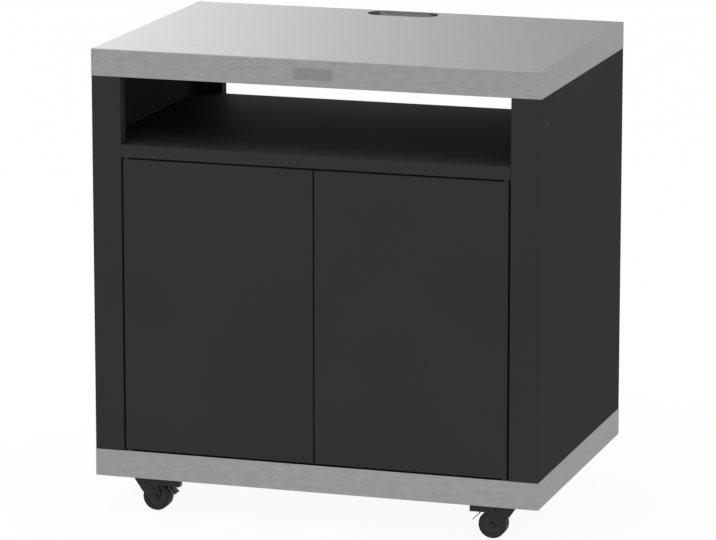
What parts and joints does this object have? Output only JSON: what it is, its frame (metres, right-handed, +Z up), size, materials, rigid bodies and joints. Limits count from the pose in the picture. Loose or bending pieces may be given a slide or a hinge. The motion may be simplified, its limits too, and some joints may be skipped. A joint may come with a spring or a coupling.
{
  "type": "grill cart with storage",
  "caption": "Rolling grill cart: brushed steel worktop with a cable slot, open niche, push-to-open storage doors, braked swivel casters.",
  "frame": {"origin": "on the floor, below the middle of the cart's footprint", "axes": "+X to the cart's right along its width seen from the doors, +Y to its rear, +Z up; the doors face -Y"},
  "size_m": [0.85, 0.59, 0.875],
  "materials": {
    "brushed_stainless": "brushed along the width",
    "black_powder_coat": "fine matt powder coat",
    "galvanised_steel": "dull zinc",
    "zinc_plate": "bright zinc",
    "zinc_black": "black zinc",
    "black_pin": "painted with the cabinet",
    "caster_black": "satin black enamel",
    "spring_steel": "blued spring steel",
    "black_plastic": "moulded, fine grain",
    "tyre_rubber": "smooth rubber"
  },
  "bodies": {
    "cabinet": {"worktop": "brushed_stainless", "worktop_front_stiffener": "galvanised_steel", "worktop_rear_stiffener": "galvanised_steel", "left_side_panel": "black_powder_coat", "right_side_panel": "black_powder_coat", "shelf": "black_powder_coat", "back_panel": "black_powder_coat", "base": "brushed_stainless", "front_caster_rail": "galvanised_steel", "rear_caster_rail": "galvanised_steel", "door_pivot_pins": "black_pin", "latch_bracket": "galvanised_steel", "left_latch_body": "black_plastic", "right_latch_body": "black_plastic", "front_left_caster_stem": "zinc_plate", "front_right_caster_stem": "zinc_plate", "rear_left_caster_stem": "zinc_plate", "rear_right_caster_stem": "zinc_plate"},
    "left_door": {"left_door": "black_powder_coat", "left_door_stiffener": "galvanised_steel", "left_door_bushes": "black_plastic", "left_strike_plate": "zinc_plate"},
    "left_plunger": {"left_latch_plunger": "zinc_plate"},
    "right_door": {"right_door": "black_powder_coat", "right_door_stiffener": "galvanised_steel", "right_door_bushes": "black_plastic", "right_strike_plate": "zinc_plate"},
    "right_plunger": {"right_latch_plunger": "zinc_plate"},
    "front_left_fork": {"front_left_caster_fork": "caster_black", "front_left_caster_axle": "zinc_black"},
    "front_left_wheel": {"front_left_wheel_core": "black_plastic", "front_left_wheel_tyre": "tyre_rubber"},
    "front_left_brake": {"front_left_brake_pedal": "caster_black", "front_left_brake_leaf": "spring_steel"},
    "front_right_fork": {"front_right_caster_fork": "caster_black", "front_right_caster_axle": "zinc_black"},
    "front_right_wheel": {"front_right_wheel_core": "black_plastic", "front_right_wheel_tyre": "tyre_rubber"},
    "front_right_brake": {"front_right_brake_pedal": "caster_black", "front_right_brake_leaf": "spring_steel"},
    "rear_left_fork": {"rear_left_caster_fork": "caster_black", "rear_left_caster_axle": "zinc_black"},
    "rear_left_wheel": {"rear_left_wheel_core": "black_plastic", "rear_left_wheel_tyre": "tyre_rubber"},
    "rear_right_fork": {"rear_right_caster_fork": "caster_black", "rear_right_caster_axle": "zinc_black"},
    "rear_right_wheel": {"rear_right_wheel_core": "black_plastic", "rear_right_wheel_tyre": "tyre_rubber"}
  },
  "joints": [
    {"name": "left_door_hinge", "type": "hinge", "parent": "cabinet", "child": "left_door", "pos_m": [-0.3595, -0.289, 0.4], "axis": [0, 0, -1], "range_deg": [0, 110]},
    {"name": "right_door_hinge", "type": "hinge", "parent": "cabinet", "child": "right_door", "pos_m": [0.3595, -0.289, 0.4], "axis": [0, 0, 1], "range_deg": [0, 110]},
    {"name": "left_plunger_slide", "type": "slide", "parent": "cabinet", "child": "left_plunger", "axis": [0, 1, 0], "range_m": [0, 0.0025], "stiffness_N_per_m": 400},
    {"name": "right_plunger_slide", "type": "slide", "parent": "cabinet", "child": "right_plunger", "axis": [0, 1, 0], "range_m": [0, 0.0025], "stiffness_N_per_m": 400},
    {"name": "front_left_swivel", "type": "hinge", "parent": "cabinet", "child": "front_left_fork", "pos_m": [-0.346, -0.233, 0.065], "axis": [0, 0, 1], "continuous": true},
    {"name": "front_left_wheel_spin", "type": "hinge", "parent": "front_left_fork", "child": "front_left_wheel", "pos_m": [-0.325, -0.233, 0.026], "axis": [0, 1, 0], "continuous": true},
    {"name": "front_left_brake_press", "type": "hinge", "parent": "front_left_fork", "child": "front_left_brake", "pos_m": [-0.328, -0.233, 0.054], "axis": [0, 1, 0], "range_deg": [0, 10]},
    {"name": "front_right_swivel", "type": "hinge", "parent": "cabinet", "child": "front_right_fork", "pos_m": [0.346, -0.233, 0.065], "axis": [0, 0, 1], "continuous": true},
    {"name": "front_right_wheel_spin", "type": "hinge", "parent": "front_right_fork", "child": "front_right_wheel", "pos_m": [0.325, -0.233, 0.026], "axis": [0, 1, 0], "continuous": true},
    {"name": "front_right_brake_press", "type": "hinge", "parent": "front_right_fork", "child": "front_right_brake", "pos_m": [0.328, -0.233, 0.054], "axis": [0, -1, 0], "range_deg": [0, 10]},
    {"name": "rear_left_swivel", "type": "hinge", "parent": "cabinet", "child": "rear_left_fork", "pos_m": [-0.346, 0.233, 0.065], "axis": [0, 0, 1], "continuous": true},
    {"name": "rear_left_wheel_spin", "type": "hinge", "parent": "rear_left_fork", "child": "rear_left_wheel", "pos_m": [-0.325, 0.233, 0.026], "axis": [0, 1, 0], "continuous": true},
    {"name": "rear_right_swivel", "type": "hinge", "parent": "cabinet", "child": "rear_right_fork", "pos_m": [0.346, 0.233, 0.065], "axis": [0, 0, 1], "continuous": true},
    {"name": "rear_right_wheel_spin", "type": "hinge", "parent": "rear_right_fork", "child": "rear_right_wheel", "pos_m": [0.325, 0.233, 0.026], "axis": [0, 1, 0], "continuous": true}
  ]
}
